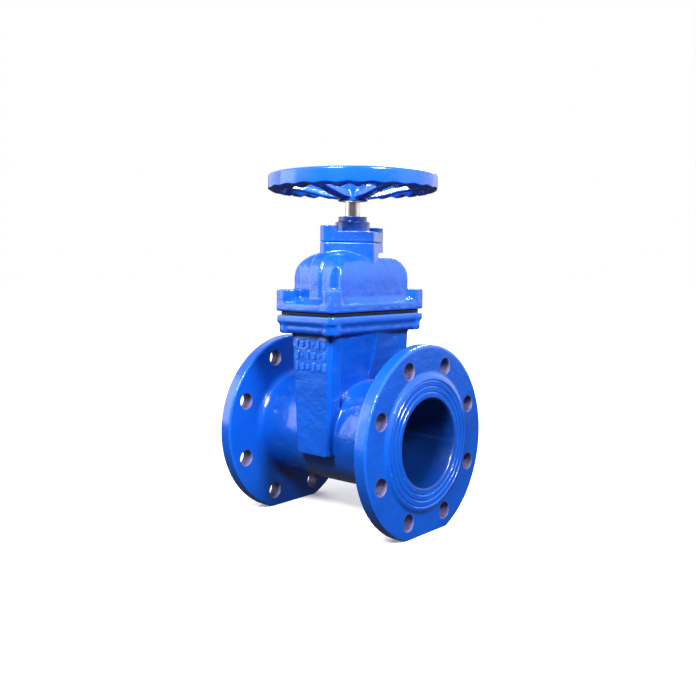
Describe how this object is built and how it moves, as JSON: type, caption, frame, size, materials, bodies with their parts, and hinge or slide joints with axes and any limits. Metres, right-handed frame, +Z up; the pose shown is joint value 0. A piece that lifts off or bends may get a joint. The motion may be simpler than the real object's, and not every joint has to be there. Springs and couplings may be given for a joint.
{
  "type": "flanged gate valve",
  "caption": "Resilient-seated wedge gate valve with two drilled flanges, domed bonnet and a scalloped handwheel on a non-rising stem.",
  "frame": {"origin": "centre of the bottom of the bounding box: on the plane of the two flange feet, straight below the stem", "axes": "+Z up along the stem, +X along the bore (both ends alike), +Y across, towards one guide box"},
  "size_m": [0.229, 0.22, 0.4085],
  "materials": {
    "blue_epoxy": "glossy fusion-bonded epoxy over cast iron",
    "wheel_enamel": "glossy enamel over cast iron",
    "cast_core": "epoxy-coated ductile iron",
    "stainless": "turned and polished bar",
    "black_rubber": "moulded EPDM, matt",
    "brass": "machined",
    "nylon": "moulded, satin",
    "zinc_steel": "zinc plated",
    "seal_wax": "poured wax, satin"
  },
  "bodies": {
    "housing": {"body": "blue_epoxy", "bonnet": "blue_epoxy", "bonnet_gasket": "black_rubber", "gland": "blue_epoxy", "back_seal": "black_rubber", "gland_o_ring": "black_rubber", "stem_o_ring_lower": "black_rubber", "stem_o_ring_upper": "black_rubber", "dust_wiper": "black_rubber", "thrust_washer_lower": "nylon", "thrust_washer_upper": "nylon", "bonnet_bolt_1": "zinc_steel", "bonnet_bolt_2": "zinc_steel", "bonnet_bolt_3": "zinc_steel", "bonnet_bolt_4": "zinc_steel", "gland_bolt_1": "zinc_steel", "gland_bolt_2": "zinc_steel", "bonnet_bolt_seal_1": "seal_wax", "bonnet_bolt_seal_2": "seal_wax", "bonnet_bolt_seal_3": "seal_wax", "bonnet_bolt_seal_4": "seal_wax", "gland_bolt_seal_1": "seal_wax", "gland_bolt_seal_2": "seal_wax"},
    "spindle": {"stem": "stainless", "handwheel": "wheel_enamel", "handwheel_washer": "zinc_steel", "handwheel_bolt": "zinc_steel"},
    "gate": {"wedge_core": "cast_core", "wedge_rubber": "black_rubber", "wedge_nut": "brass", "guide_shoe_left": "nylon", "guide_shoe_right": "nylon"}
  },
  "joints": [
    {"name": "handwheel_turn", "type": "hinge", "parent": "housing", "child": "spindle", "pos_m": [0, 0, 0.3], "axis": [0, 0, 1], "range_deg": [-7200, 0]},
    {"name": "wedge_travel", "type": "slide", "parent": "housing", "child": "gate", "axis": [0, 0, 1], "range_m": [-0.1, 0]}
  ],
  "couplings": [
    {"joint": "wedge_travel", "follows": "handwheel_turn", "m_per_rad": 0.00079577}
  ]
}
